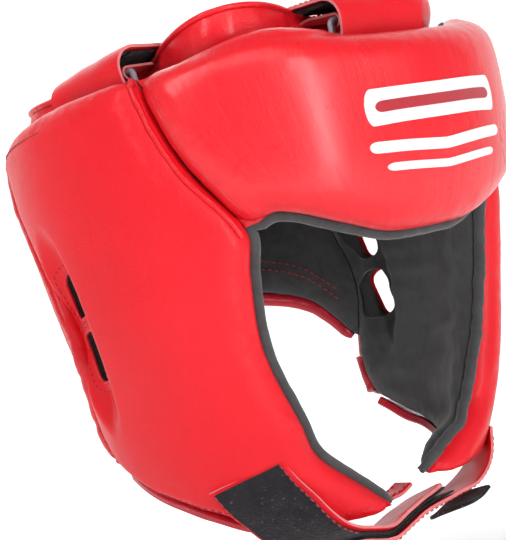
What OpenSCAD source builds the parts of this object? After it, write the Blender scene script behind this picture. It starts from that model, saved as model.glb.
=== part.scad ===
// Open-face boxing headgear: four padded panels, a crown pad hung on four ring straps,
// two chin straps and a rear closing strap. The origin is where the top of the head touches
// the crown pad. The wearer faces -Y, the wearer's left is +X and +Z is up.

/* [Shell] */
// Half of the outer width across the ears
half_w = 112; // [105:1:118]
// Outer depth from the ear line to the forehead
front_d = 127; // [118:1:134]
// Outer depth from the ear line to the back of the head
rear_d = 128; // [118:1:134]
// Thickness of a padded panel in its middle
pad_t = 22; // [18:1:24]
// How far a panel's face drops towards its seams
edge_drop = 7; // [5:0.5:7.5]
// Thickness of the leather skins
leather_t = 1.6; // [1.2:0.1:2]
// Thickness of the suede linings
lining_t = 1.4; // [1:0.1:1.8]

/* [Crown] */
// Distance from the crown pad's middle to the middle of a side
crown_r = 66; // [60:1:68]
// How far the corner lobes reach past the sides
lobe_r = 31; // [22:1:32]
// Thickness of the crown pad in its middle
crown_t = 15; // [12:1:16]
// Slope of the crown pad, front up
crown_tilt = 10; // [6:1:11]

/* [Straps] */
// Width of the crown straps
flap_w = 54; // [46:1:58]
// Length of a crown strap's upper leaf
flap_len = 34; // [28:1:36]
// Width of the chin straps
chin_w = 38; // [32:1:40]
// Width of the rear strap
rear_strap_w = 46; // [38:1:50]
// Thickness of a strap's leather
strap_t = 2.2; // [1.8:0.1:2.4]
// Thickness of the hook and loop tapes
tape_t = 1.2; // [1:0.1:1.4]

/* [Ear slots] */
// Width of an ear slot
slot_w = 13; // [10:1:14]
// Length of the upper ear slot
slot_top_len = 24; // [20:1:26]
// Length of the lower ear slot
slot_low_len = 26; // [22:1:30]

/* [Hidden] */
gap = 0.3;            // clearance between neighbouring pieces
squareness = 2.2;     // superellipse power of the plan outline
grid_u = 18;
grid_v = 10;
red = [0.93, 0.13, 0.15];
grey = [0.27, 0.27, 0.28];
black = [0.09, 0.09, 0.10];
foam_colour = [0.16, 0.16, 0.17];

// Share of the full outline at each height: [height, side, front, rear]
SIDE_SHARE = [[-225, 0.66], [-208, 0.76], [-171, 0.89], [-128, 0.97], [-88, 1], [4, 1], [24, 0.93]];
FRONT_SHARE = [[-225, 0.56], [-208, 0.61], [-171, 0.72], [-128, 0.83], [-85, 0.93], [-55, 0.99],
    [-20, 1], [0, 0.99], [14, 0.95]];
REAR_SHARE = [[-225, 0.58], [-171, 0.62], [-128, 0.65], [-110, 0.69], [-88, 0.77], [-60, 0.88],
    [-40, 0.95], [0, 0.98]];

// The seam between forehead and side panel, as [height, angle from the front]
SEAM = [[-71, 50], [-41, 62], [-18, 68], [11, 73]];
// The brow edge, as [angle from the front, height]
BROW = [[0, -84.5], [12, -83], [25, -75], [38, -66], [43, -65], [49, -71]];
// The side panel's front edge, as [share of the way up, angle] and [share, height]
FRONT_ANGLE = [[0, 23], [0.15, 34], [0.25, 38.5], [0.45, 47.5], [0.6, 49.6], [0.68, 50], [0.8, 62],
    [0.9, 68], [1, 73]];
FRONT_HEIGHT = [[0, -211], [0.15, -181], [0.25, -164], [0.45, -126], [0.6, -90], [0.68, -71],
    [0.8, -41], [0.9, -18], [1, 11]];
// The side panel's rear edge, the same way
REAR_ANGLE = [[0, 111.5], [0.2, 117], [0.45, 115], [0.7, 120], [0.9, 130], [1, 136]];
REAR_HEIGHT = [[0, -171], [0.2, -148], [0.45, -110], [0.7, -67], [0.9, -28], [1, -11]];
bottom_sag = 27;      // how far the jaw edge hangs below its ends
// The rear panel's lower edge, as [angle from the front, height]
REAR_HEM = [[115, -140], [125, -127], [138, -116], [180, -104]];
// The rear seam, as [height, angle]
REAR_SEAM = [[-148, 117], [-110, 115], [-67, 120], [-28, 130], [-11, 136]];
rear_top = -15;       // height of the rear panel's top edge at its middle

function mix(a, b, k) = a + (b - a) * k;
function spow(x, p) = sign(x) * pow(abs(x), p);
function depth(a, z) = cos(a) > 0 ? front_d * lookup(z, FRONT_SHARE) : rear_d * lookup(z, REAR_SHARE);
// A point of the outer surface: angle from the front towards the wearer's left, height, offset
function skin(a, z, off) = [
    (half_w * lookup(z, SIDE_SHARE) + off) * spow(sin(a), 2 / squareness),
    -(depth(a, z) + off) * spow(cos(a), 2 / squareness), z];

// How full the padding is at a place on a panel, from 0 at its seams to 1
function fullness(u, v, eu, ev) = let (m = min(1, u / eu, (1 - u) / eu, v / ev, (1 - v) / ev))
    sqrt(1 - (1 - m) * (1 - m));
function outer_off(f, from) = -edge_drop * (1 - f) - from;
function inner_off(f, to) = -pad_t + edge_drop * (1 - f) + to;

// Panel places: each returns [angle, height] for u along and v up, and keeps clear of the seams
function forehead_at(u, v) = let (a = mix(-1, 1, u), zt = 12 - 2 * a * a,
        side = lookup(mix(-71, 11, v), SEAM) - 0.3, ang = a * side,
        zb = lookup(abs(a) * 49, BROW))
    [ang, mix(zb + gap, zt, v)];
function side_at(u, v) = let (a = mix(lookup(v, FRONT_ANGLE) + 0.3, lookup(v, REAR_ANGLE) - 0.3, u),
        h = mix(lookup(v, FRONT_HEIGHT), lookup(v, REAR_HEIGHT), u),
        low = max(0, 1 - v / 0.55))
    [a, h - bottom_sag * low * low * 4 * u * (1 - u)];
function rear_at(u, v) = let (a0 = lookup(mix(-140, -11, v), REAR_SEAM) + 0.3,
        a = mix(a0, 360 - a0, u), fold = a > 180 ? 360 - a : a,
        zt = mix(rear_top, -11, pow(abs(2 * u - 1), 2)), zb = lookup(fold, REAR_HEM))
    [a, mix(mix(zb, -140, pow(abs(2 * u - 1), 8)), zt, v)];

// Even steps with two closer ones at each end, so that the padding rounds off at the seams
function steps(n) = concat([0, 0.3 / n, 1 / n], [for (i = [2 : n - 2]) i / n],
    [1 - 1 / n, 1 - 0.3 / n, 1]);

function quads(nu, nv, base, flip) = [for (i = [0 : nu - 2], j = [0 : nv - 2])
    let (p = base + i * nv + j, q = p + nv) each (flip ? [[p, p + 1, q + 1], [p, q + 1, q]]
        : [[p, q, q + 1], [p, q + 1, p + 1]])];
// The walls that join the edges of an outer grid and an inner grid
function rim(nu, nv) = let (m = nu * nv,
        loop = concat([for (i = [0 : nu - 1]) i * nv], [for (j = [1 : nv - 1]) (nu - 1) * nv + j],
            [for (i = [nu - 2 : -1 : 0]) i * nv + nv - 1], [for (j = [nv - 2 : -1 : 1]) j]),
        k = len(loop))
    [for (i = [0 : k - 1]) let (p = loop[i], q = loop[(i + 1) % k])
        each [[p, q + m, q], [p, p + m, q + m]]];

// A closed layer between two grids of points
module layer(outer, inner, nu, nv, turned) {
    pts = concat(outer, inner);
    faces = concat(quads(nu, nv, 0, false), quads(nu, nv, nu * nv, true), rim(nu, nv));
    polyhedron(points = pts, faces = turned ? [for (f = faces) [f[2], f[1], f[0]]] : faces);
}

// One layer of a panel: kind 0 is the leather, 1 the foam, 2 the lining
function layer_out(kind, f) = kind == 0 ? outer_off(f, 0) : kind == 1
    ? outer_off(f, leather_t + gap) : inner_off(f, lining_t);
function layer_in(kind, f) = kind == 0 ? outer_off(f, leather_t) : kind == 1
    ? inner_off(f, lining_t + gap) : inner_off(f, 0);
function place(panel, u, v) = panel == 0 ? forehead_at(u, v) : panel == 1 ? side_at(u, v)
    : rear_at(u, v);
module panel_layer(panel, kind, nu, nv) {
    us = steps(nu);
    vs = steps(nv);
    spots = [for (u = us, v = vs) let (f = fullness(u, v, 1.6 / nu, 1.6 / nv), p = place(panel, u, v))
        [p[0], p[1], f]];
    outer = [for (s = spots) skin(s[0], s[1], layer_out(kind, s[2]))];
    inner = [for (s = spots) skin(s[0], s[1], layer_in(kind, s[2]))];
    layer(outer, inner, len(us), len(vs), true);
}

// Ear slots go through the side panel along X
module ear_slot(y, z, long) {
    translate([half_w, y, z]) rotate([-18, 0, 0]) rotate([0, 90, 0])
        linear_extrude(height = 90, center = true) {
            square([long - slot_w, slot_w], center = true);
            for (e = [-1, 1]) translate([e * (long - slot_w) / 2, 0]) circle(d = slot_w, $fn = 32);
        }
}
slot_top = [27, -86];
slot_low = [20.5, -116.5];
module side_layer(kind) {
    difference() {
        panel_layer(1, kind, 13, 16);
        ear_slot(slot_top[0], slot_top[1], slot_top_len);
        ear_slot(slot_low[0], slot_low[1], slot_low_len);
    }
}
module as_right() { mirror([1, 0, 0]) children(); }

module forehead_leather() { color(red) panel_layer(0, 0, grid_u, grid_v); }
module forehead_foam() { color(foam_colour) panel_layer(0, 1, grid_u, grid_v); }
module forehead_lining() { color(grey) panel_layer(0, 2, grid_u, grid_v); }
module left_side_leather() { color(red) side_layer(0); }
module left_side_foam() { color(foam_colour) side_layer(1); }
module left_side_lining() { color(grey) side_layer(2); }
module right_side_leather() { color(red) as_right() side_layer(0); }
module right_side_foam() { color(foam_colour) as_right() side_layer(1); }
module right_side_lining() { color(grey) as_right() side_layer(2); }
module rear_leather() { color(red) panel_layer(2, 0, grid_u, grid_v); }
module rear_foam() { color(foam_colour) panel_layer(2, 1, grid_u, grid_v); }
module rear_lining() { color(grey) panel_layer(2, 2, grid_u, grid_v); }

// Crown pad: a rounded square with a lobe at each corner, sloping up to the front
crown_rings = 7;
crown_spokes = 40;
function crown_reach(a) = crown_r + lobe_r * pow(abs(sin(2 * a)), 1.6);
rear_stretch = 1.2;   // the rear lobes reach further back than the front ones reach forward
lobe_lift = 9;
edge_t = 9;           // thickness at the piped edge
function crown_at(k, a, top) = let (r = crown_reach(a) * k, x = r * cos(a),
        y = r * sin(a) * (sin(a) > 0 ? rear_stretch : 1),
        lift = lobe_lift * pow(k, 3) * pow(abs(sin(2 * a)), 2), f = sqrt(1 - pow(k, 6)))
    [x, y, -tan(crown_tilt) * y + lift - 2.5 * k * k + mix(3, 0, f) * (1 - top)
        + top * mix(edge_t, crown_t, f)];
function crown_layer_at(k, a, depth_in) = let (lo = crown_at(k, a, 0), hi = crown_at(k, a, 1))
    [lo[0], lo[1], mix(lo[2], hi[2], depth_in)];
module crown_layer(lo, hi) {
    ks = [for (i = [1 : crown_rings]) sin(90 * i / crown_rings)];
    n = crown_spokes;
    m = crown_rings * n + 1;
    top = concat([crown_layer_at(0, 0, hi)], [for (k = ks, j = [0 : n - 1])
        crown_layer_at(k, 360 * j / n, hi)]);
    low = concat([crown_layer_at(0, 0, lo)], [for (k = ks, j = [0 : n - 1])
        crown_layer_at(k, 360 * j / n, lo)]);
    fan = [for (j = [0 : n - 1]) [0, 1 + j, 1 + (j + 1) % n]];
    web = [for (i = [0 : crown_rings - 2], j = [0 : n - 1]) let (p = 1 + i * n + j,
        q = 1 + i * n + (j + 1) % n) each [[p, p + n, q + n], [p, q + n, q]]];
    side = [for (j = [0 : n - 1]) let (p = 1 + (crown_rings - 1) * n + j,
        q = 1 + (crown_rings - 1) * n + (j + 1) % n) each [[p, p + m, q + m], [p, q + m, q]]];
    up = concat(fan, web);
    polyhedron(points = concat(top, low), faces = concat([for (f = up) [f[2], f[1], f[0]]],
        [for (f = up) [f[0] + m, f[1] + m, f[2] + m]], [for (f = side) [f[2], f[1], f[0]]]));
}
module crown_leather() { color(red) crown_layer(0.78, 1); }
module crown_foam() { color(foam_colour) crown_layer(0.24, 0.74); }
module crown_lining() { color(grey) crown_layer(0, 0.2); }

// A flat band swept through stations of [middle, width direction, width], w wide and t thick,
// lifted off its middle by off along its face
function unit(v) = v / norm(v);
function heading(st, i) = unit(st[min(i + 1, len(st) - 1)][0] - st[max(i - 1, 0)][0]);
module band(st, t, off) {
    n = len(st);
    pts = [for (i = [0 : n - 1]) let (d = heading(st, i), wd = unit(st[i][1]),
            up = unit(cross(wd, d)), c = st[i][0] + up * off, h = st[i][2] / 2)
        each [c - wd * h - up * t / 2, c + wd * h - up * t / 2, c + wd * h + up * t / 2,
            c - wd * h + up * t / 2]];
    faces = concat([[0, 1, 2], [0, 2, 3]], [for (i = [0 : n - 2], j = [0 : 3])
        let (p = 4 * i + j, q = 4 * i + (j + 1) % 4) each (j == 2
            ? [[p, p + 4, q], [q, p + 4, q + 4]] : [[p, p + 4, q + 4], [p, q + 4, q]])],
        [[4 * n - 4, 4 * n - 2, 4 * n - 3], [4 * n - 4, 4 * n - 1, 4 * n - 2]]);
    polyhedron(points = pts, faces = faces);
}

// A round cord swept along points, for the rolled bindings
module roll_along(path, r, closed) {
    n = len(path);
    sides = 6;
    pts = [for (i = [0 : n - 1]) let (
            d = unit(path[closed ? (i + 1) % n : min(i + 1, n - 1)]
                - path[closed ? (i + n - 1) % n : max(i - 1, 0)]),
            out = unit([path[i][0], path[i][1], 0]), e1 = unit(cross(d, out)), e2 = cross(d, e1))
        for (k = [0 : sides - 1]) path[i] + r * (cos(360 * k / sides) * e1
            + sin(360 * k / sides) * e2)];
    rings = closed ? n : n - 1;
    faces = [for (i = [0 : rings - 1], k = [0 : sides - 1]) let (p = i * sides + k,
            q = i * sides + (k + 1) % sides, p2 = ((i + 1) % n) * sides + k,
            q2 = ((i + 1) % n) * sides + (k + 1) % sides) each [[p, q, q2], [p, q2, p2]]];
    ends = closed ? [] : [[for (k = [sides - 1 : -1 : 0]) k],
        [for (k = [0 : sides - 1]) (n - 1) * sides + k]];
    polyhedron(points = pts, faces = [for (f = concat(faces, ends))
        [for (i = [len(f) - 1 : -1 : 0]) f[i]]]);
}

// The lip along the face opening, from jaw tip to jaw tip over the brow
lip_r = 2.2;
mid_off = -pad_t / 2;
lip_side = [for (v = [0 : 0.05 : 0.68]) let (p = side_at(0, v))
    skin(p[0], p[1], mid_off) + lip_shift(p[0], p[1])];
function lip_shift(a, z) = let (in = skin(a - 3, z, mid_off) - skin(a, z, mid_off))
    unit(in) * (lip_r + gap + 0.6);
lip_brow = [for (a = [0.9 : -0.1 : -0.9]) let (p = forehead_at((1 + a) / 2, 0))
    skin(p[0], p[1], mid_off) - [0, 0, lip_r + gap + 0.6]];
module face_binding() {
    left = lip_side;
    right = [for (i = [len(left) - 1 : -1 : 0]) [-left[i][0], left[i][1], left[i][2]]];
    color(grey) roll_along(concat(left, lip_brow, right), lip_r, false);
}
hem_r = 3;
module rear_hem_binding() {
    path = [for (u = [0.03 : 0.047 : 0.97]) let (p = rear_at(u, 0))
        skin(p[0], p[1], mid_off) - [0, 0, hem_r + gap + 0.7]];
    color(red * 0.8) roll_along(path, hem_r, false);
}
// The rolled edge behind the ear, below the rear panel
module left_ear_binding() {
    path = [for (v = [0.0 : 0.02 : 0.18]) let (p = side_at(1, v), s = skin(p[0], p[1], mid_off),
        away = unit(skin(p[0] + 3, p[1], mid_off) - s)) s + away * (hem_r + gap + 0.7)];
    color(red * 0.8) roll_along(path, hem_r, false);
}
module right_ear_binding() { as_right() left_ear_binding(); }

// Plain embroidered badge on the forehead, a thin curved plate
badge_a = 21;
badge_z = [-60, -14];
module forehead_badge() {
    us = [for (i = [0 : 8]) mix(-badge_a, badge_a, i / 8)];
    vs = [for (j = [0 : 4]) mix(badge_z[0], badge_z[1], j / 4)];
    color("white") layer([for (u = us, v = vs) skin(u, v, 1.9)], [for (u = us, v = vs)
        skin(u, v, 1.1)], 9, 5, true);
}

// Crown straps. Each stands on the headband's top edge: [turn about Z, distance, height, slope]
FRONT_SEAT = [0, 93, 19, 0];
RIGHT_SEAT = [-90, 86, 9, -crown_tilt];
LEFT_SEAT = [90, 86, 9, crown_tilt];
REAR_SEAT = [180, 96.5, -3.8, 0];
bar_r = 1.6;
arch_r = 9.4;
module at_seat(s) {
    rotate([0, 0, s[0]]) translate([0, -s[1], s[2]]) rotate([0, s[3], 0]) children();
}
// Profiles lie in the plane across the bar: x is outward from the head, y is up
module across(w) { rotate([90, 0, -90]) linear_extrude(height = w, center = true) children(); }
module arch(r, t, from, to) {
    difference() {
        circle(r = r + t, $fn = 48);
        circle(r = r, $fn = 48);
        polygon(concat([[0, 0]], [for (i = [0 : 12]) let (a = mix(to, from + 360, i / 12))
            3 * (r + t) * [cos(a), sin(a)]]));
    }
}
anchor_drop = 16;     // how far an anchor reaches down the lining
ring_h = 7.4;         // height between a ring's two bars
fold_from = -5;       // angle at which the fold starts, outside the bar
module ring_frame() {
    w = flap_w - 8;
    h = ring_h;
    for (z = [0, -h]) translate([0, 0, z]) rotate([0, 90, 0])
        cylinder(r = bar_r, h = w, center = true, $fn = 24);
    for (x = [-1, 1]) translate([x * w / 2, 0, -h]) cylinder(r = bar_r, h = h, $fn = 24);
    for (x = [-1, 1], z = [0, -h]) translate([x * w / 2, 0, z]) sphere(r = bar_r, $fn = 24);
}
module ring_at(s) { color([0.6, 0.56, 0.62]) at_seat(s) ring_frame(); }
module anchor_at(s) {
    color(red) at_seat(s) translate([0, 0, -ring_h]) across(flap_w - 22) difference() {
        union() {
            circle(r = bar_r + 1.3, $fn = 32);
            translate([bar_r, -anchor_drop]) square([1.3, anchor_drop]);
        }
        circle(r = bar_r + 0.15, $fn = 32);
    }
}
// The fixed lower leaf, from the crown pad's edge to the bar
module tab_at(s, reach) {
    color(red * 0.9) at_seat(s) across(flap_w - 14) difference() {
        union() {
            circle(r = bar_r + 2.2, $fn = 32);
            translate([-reach, bar_r + 0.2]) square([reach, 2]);
        }
        circle(r = bar_r + 0.15, $fn = 32);
    }
}
module fold_at(s) { color(red) at_seat(s) across(flap_w) arch(arch_r, strap_t, fold_from, 90); }
module leaf_at(s) {
    color(red) at_seat(s) across(flap_w) translate([-flap_len, arch_r]) square([flap_len - 0.3, strap_t]);
}
module leaf_tape_at(s) {
    color(black) at_seat(s) across(flap_w - 3) translate([-flap_len + 1, arch_r - tape_t - 0.05])
        square([flap_len - 2, tape_t]);
}
module front_ring() { ring_at(FRONT_SEAT); }
module right_ring() { ring_at(RIGHT_SEAT); }
module left_ring() { ring_at(LEFT_SEAT); }
module rear_ring() { ring_at(REAR_SEAT); }
module front_ring_anchor() { anchor_at(FRONT_SEAT); }
module right_ring_anchor() { anchor_at(RIGHT_SEAT); }
module left_ring_anchor() { anchor_at(LEFT_SEAT); }
module rear_ring_anchor() { anchor_at(REAR_SEAT); }
module front_crown_tab() { tab_at(FRONT_SEAT, 16); }
module right_crown_tab() { tab_at(RIGHT_SEAT, 8); }
module left_crown_tab() { tab_at(LEFT_SEAT, 8); }
module rear_crown_tab() { tab_at(REAR_SEAT, 10); }
module front_strap_fold() { fold_at(FRONT_SEAT); }
module right_strap_fold() { fold_at(RIGHT_SEAT); }
module left_strap_fold() { fold_at(LEFT_SEAT); }
module rear_strap_fold() { fold_at(REAR_SEAT); }
module front_strap_leaf() { leaf_at(FRONT_SEAT); }
module right_strap_leaf() { leaf_at(RIGHT_SEAT); }
module left_strap_leaf() { leaf_at(LEFT_SEAT); }
module rear_strap_leaf() { leaf_at(REAR_SEAT); }
module front_leaf_tape() { leaf_tape_at(FRONT_SEAT); }
module right_leaf_tape() { leaf_tape_at(RIGHT_SEAT); }
module left_leaf_tape() { leaf_tape_at(LEFT_SEAT); }
module rear_leaf_tape() { leaf_tape_at(REAR_SEAT); }

// Chin straps, as stations of [middle, width direction, width]. The near one is sewn to the
// right side panel and the far one to the left, and they overlap under the chin.
NEAR_BASE = [
    [[-76.5, -52.5, -192], [0.53, -0.80, 0.28], chin_w],
    [[-73, -56.5, -206], [0.45, -0.87, 0.18], chin_w],
    [[-65, -58, -219], [0.3, -0.95, 0.08], chin_w],
    [[-53, -57, -226], [0.1, -1, 0], chin_w],
    [[-41, -57, -227], [0, -1, 0], chin_w]];
NEAR_END = [
    [[-40, -57, -227], [0, -1, 0], chin_w],
    [[-20, -57, -227], [0, -1, 0], chin_w],
    [[-4, -57, -226], [0, -1, 0], chin_w],
    [[8, -57, -222], [0, -1, 0], chin_w],
    [[17, -57, -216], [0, -1, 0], chin_w],
    [[25, -57, -210], [0, -1, 0], chin_w - 4]];
FAR = [
    [[76, -52, -193], [-0.53, -0.80, 0.28], chin_w],
    [[73.5, -56, -207], [-0.45, -0.87, 0.18], chin_w],
    [[66, -58, -221], [-0.3, -0.95, 0.08], chin_w],
    [[54, -58, -229.5], [-0.1, -1, 0], chin_w],
    [[38, -58, -232.6], [0, -1, 0], chin_w],
    [[0, -58, -232.8], [0, -1, 0], chin_w],
    [[-30, -58, -232.8], [0, -1, 0], chin_w],
    [[-48, -58, -232.4], [0, -1, 0], chin_w - 8]];
TAIL = [
    [[57, -59, -234.5], [-0.05, -1, 0], chin_w - 4],
    [[48, -59, -236.6], [0, -1, 0], chin_w - 4],
    [[38, -59, -237.4], [0, -1, 0], chin_w - 6],
    [[29, -59, -236.9], [0, -1, 0], chin_w - 16]];
function narrower(st, by) = [for (s = st) [s[0], s[1], s[2] - by]];
near_face = strap_t / 2 + tape_t / 2 + 0.35;
module near_chin_strap_base() { color(red) band(NEAR_BASE, strap_t, 0); }
module near_chin_base_tape() { color(black) band(narrower(NEAR_BASE, 3), tape_t, -near_face); }
module near_chin_strap_end() { color(red) band(NEAR_END, strap_t, 0); }
module near_chin_end_tape() { color(black) band(narrower(NEAR_END, 3), tape_t, -near_face); }
module far_chin_strap() { color(red) band(FAR, strap_t, 0); }
FAR_TAPED = [for (i = [3 : len(FAR) - 1]) FAR[i]];
module far_chin_tape() { color(black) band(narrower(FAR_TAPED, 3), tape_t, -near_face); }
module far_chin_tail() { color(black) band(TAIL, strap_t, 0); }
module chin_tack_tab() {
    color(red * 0.8) band([[[-22, -54, -216], [0, -1, 0], 14], [[-12, -54, -214], [0, -1, 0], 14],
        [[-5, -54, -210], [0, -1, 0], 14]], strap_t, 0);
}
// The turned-under gusset below each jaw edge
GUSSET = [for (u = [0.52 : 0.08 : 0.96]) let (p = side_at(u, 0)) [skin(p[0], p[1] - 3.4, -13),
    skin(p[0], p[1] - 3.4, -3) - skin(p[0], p[1] - 3.4, -13), 12]];
module left_chin_gusset() { color(red * 0.75) band(GUSSET, 4.4, 0); }
module right_chin_gusset() { as_right() left_chin_gusset(); }

// Rear closing strap, wrapped round the back of the rear panel
function rear_stations(from, to, off, w) = [for (i = [0 : 8]) let (a = mix(from, to, i / 8),
    p = skin(a, rear_strap_z, off)) [p, skin(a, rear_strap_z + 20, off) - skin(a, rear_strap_z - 20, off), w]];
rear_strap_z = -62;   // height of the strap's middle
strap_face = gap + tape_t * 2 + 1.6;
module rear_loop_patch() { color(black) band(rear_stations(176, 158, gap + tape_t / 2 + 0.9,
    rear_strap_w - 4), tape_t, 0); }
module rear_strap_tape() { color(black) band(rear_stations(174, 158, strap_face + tape_t / 2,
    rear_strap_w - 4), tape_t, 0); }
module rear_strap() { color(red) band(rear_stations(204, 156, strap_face + tape_t + 0.8
    + strap_t / 2, rear_strap_w), strap_t, 0); }

forehead_leather();
forehead_foam();
forehead_lining();
right_side_leather();
right_side_foam();
right_side_lining();
left_side_leather();
left_side_foam();
left_side_lining();
rear_leather();
rear_foam();
rear_lining();
crown_leather();
crown_foam();
crown_lining();
face_binding();
rear_hem_binding();
right_ear_binding();
left_ear_binding();
forehead_badge();
front_ring();
right_ring();
left_ring();
rear_ring();
front_ring_anchor();
right_ring_anchor();
left_ring_anchor();
rear_ring_anchor();
front_crown_tab();
right_crown_tab();
left_crown_tab();
rear_crown_tab();
front_strap_fold();
right_strap_fold();
left_strap_fold();
rear_strap_fold();
front_strap_leaf();
right_strap_leaf();
left_strap_leaf();
rear_strap_leaf();
front_leaf_tape();
right_leaf_tape();
left_leaf_tape();
rear_leaf_tape();
near_chin_strap_base();
near_chin_base_tape();
near_chin_strap_end();
near_chin_end_tape();
far_chin_strap();
far_chin_tape();
far_chin_tail();
chin_tack_tab();
right_chin_gusset();
left_chin_gusset();
rear_strap();
rear_strap_tape();
rear_loop_patch();
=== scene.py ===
"""Boxing headgear: padded panels, crown pad, straps and trim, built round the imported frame."""

import bisect
import math

import bmesh
import bpy
from mathutils import Matrix, Vector, noise


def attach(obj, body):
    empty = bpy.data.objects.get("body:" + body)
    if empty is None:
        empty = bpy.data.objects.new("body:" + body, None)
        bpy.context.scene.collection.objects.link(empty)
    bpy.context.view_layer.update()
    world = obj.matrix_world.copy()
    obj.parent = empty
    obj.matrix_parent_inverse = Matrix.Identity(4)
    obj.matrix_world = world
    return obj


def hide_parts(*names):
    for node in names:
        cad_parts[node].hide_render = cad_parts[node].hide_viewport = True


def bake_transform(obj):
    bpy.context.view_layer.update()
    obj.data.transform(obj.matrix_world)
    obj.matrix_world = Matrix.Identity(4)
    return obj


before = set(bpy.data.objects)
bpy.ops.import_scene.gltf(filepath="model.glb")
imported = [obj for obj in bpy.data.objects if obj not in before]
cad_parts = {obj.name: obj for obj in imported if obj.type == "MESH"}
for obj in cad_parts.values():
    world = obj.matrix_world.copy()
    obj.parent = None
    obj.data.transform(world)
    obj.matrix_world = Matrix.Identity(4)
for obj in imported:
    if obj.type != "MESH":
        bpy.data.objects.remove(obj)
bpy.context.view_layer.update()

bl_info = {
    "name": "Boxing headgear",
    "version": (1, 0, 0),
    "blender": (4, 5, 0),
    "location": "View3D > Sidebar > Headgear",
    "description": "Builds padded boxing headgear over its packed frame",
    "category": "Mesh",
}

MM = 0.001

# ---------------------------------------------------------------- the shell's form, in millimetres
# The frame's own driving sizes, except where a comment says that the visible shape differs.
# A share table gives the form's width or depth at a height, as a part of its full size.
HALF_W, FRONT_D, REAR_D = 112.0, 127.0, 128.0
PAD_T, LEATHER_T, LINING_T, GAP = 22.0, 1.6, 1.4, 0.3
SQUARENESS = 2.2
SIDE_SHARE = ((-225, 0.66), (-208, 0.76), (-171, 0.89), (-128, 0.97), (-88, 1), (4, 1), (24, 0.93))
FRONT_SHARE = ((-225, 0.56), (-208, 0.61), (-171, 0.72), (-128, 0.83), (-85, 0.93), (-55, 0.99),
               (-20, 1), (0, 0.99), (14, 0.95))
REAR_SHARE = ((-225, 0.58), (-171, 0.62), (-128, 0.65), (-110, 0.69), (-88, 0.77), (-60, 0.88),
              (-40, 0.95), (0, 0.98))
SEAM = ((-71, 50), (-41, 62), (-18, 68), (11, 73))
BROW = ((0, -84.5), (12, -83), (25, -75), (38, -66), (43, -65), (49, -71))
# the side panels' front and rear edges, by how far up the edge; the jaw tips reach further in
# than the frame's, and the jaw's lower edge sags less
FRONT_ANGLE = ((0, 7), (0.15, 33), (0.25, 38.5), (0.45, 47.5), (0.6, 49.6), (0.68, 50), (0.8, 62),
               (0.9, 68), (1, 73))
FRONT_HEIGHT = ((0, -213), (0.15, -183), (0.25, -164), (0.45, -126), (0.6, -90), (0.68, -71),
                (0.8, -41), (0.9, -18), (1, 11))
REAR_ANGLE = ((0, 111.5), (0.2, 117), (0.45, 115), (0.7, 120), (0.9, 130), (1, 136))
REAR_HEIGHT = ((0, -171), (0.2, -148), (0.45, -110), (0.7, -67), (0.9, -28), (1, -11))
RIGHT_SAG, LEFT_SAG, LEFT_RISE = 15.0, 12.0, 10.0
REAR_HEM = ((115, -140), (125, -127), (138, -116), (180, -104))
REAR_SEAM = ((-148, 117), (-110, 115), (-67, 120), (-28, 130), (-11, 136))
REAR_TOP = -15.0
# ear slots: (depth, height) of the middle, and length; a little wider than the frame's
SLOTS = (((27, -86), 24), ((20.5, -116.5), 26))
SLOT_W, SLOT_LEAN, SLOT_SQUARENESS = 15.5, 18.0, 0.7
CROWN_R, LOBE_R, CROWN_T, CROWN_TILT = 66.0, 31.0, 15.0, 10.0
REAR_STRETCH, LOBE_LIFT = 1.2, 9.0
# where each crown strap sits: its turn, distance out, height and slope
SEATS = {"front": (0, 93, 19, 0), "right": (-90, 86, 9, -CROWN_TILT),
         "left": (90, 86, 9, CROWN_TILT), "rear": (180, 96.5, -3.8, 0)}
TAB_REACH = {"front": 24, "right": 22, "left": 22, "rear": 16}
BAR_R, RING_H, ARCH_R, FLAP_W, FLAP_LEN, STRAP_T, TAPE_T = 1.6, 7.4, 9.4, 54.0, 34.0, 2.2, 1.2
# straps as stations: (middle, direction across, width); the chin straps follow the visible jaw
NEAR = (((-83.5, -48.5, -180), (0.56, -0.78, 0.30), 38),
        ((-78.5, -52, -190), (0.54, -0.79, 0.29), 38), ((-70, -54, -200), (0.48, -0.82, 0.28), 38),
        ((-61.5, -56, -209.5), (0.33, -0.87, 0.30), 38),
        ((-52.4, -57.3, -215.7), (0.15, -0.93, 0.33), 38),
        ((-38, -57, -220.8), (0, -0.94, 0.33), 38), ((-18.6, -57, -224), (-0.1, -0.94, 0.33), 38),
        ((-6, -57, -219.5), (-0.12, -0.94, 0.30), 38),
        ((6, -57, -215.2), (-0.15, -0.94, 0.28), 38), ((15, -57, -213), (-0.15, -0.94, 0.28), 37),
        ((24, -57, -210.5), (-0.15, -0.94, 0.28), 34))
FAR = (((76, -52, -193), (-0.53, -0.80, 0.28), 38), ((64, -56, -204.5), (-0.4, -0.87, 0.18), 38),
       ((47, -57, -213.5), (-0.2, -0.95, 0.2), 38), ((28, -57, -217.5), (-0.12, -0.94, 0.26), 38),
       ((6, -57, -221.5), (-0.12, -0.94, 0.28), 38), ((-6, -57, -225.5), (-0.1, -0.94, 0.30), 38),
       ((-19, -57, -230), (-0.05, -0.94, 0.33), 38), ((-38, -57, -227), (0, -0.94, 0.33), 38),
       ((-48, -58, -224.5), (0.05, -0.94, 0.33), 30))
TAIL = (((52, -59, -217.5), (-0.2, -0.95, 0.2), 34), ((44, -59, -221), (-0.15, -0.95, 0.2), 34),
        ((36, -59, -223), (-0.12, -0.95, 0.24), 34), ((28, -59, -223.5), (-0.1, -0.94, 0.26), 32))
TACK = (((-6, -57, -208), (0, -1, 0), 12), ((1, -57, -207), (0, -1, 0), 12),
        ((8, -57, -204), (0, -1, 0), 12))
BADGE_HALF = 21.0  # half the badge's width, in degrees round the form


def mix(a, b, k):
    return a + (b - a) * k


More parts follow.
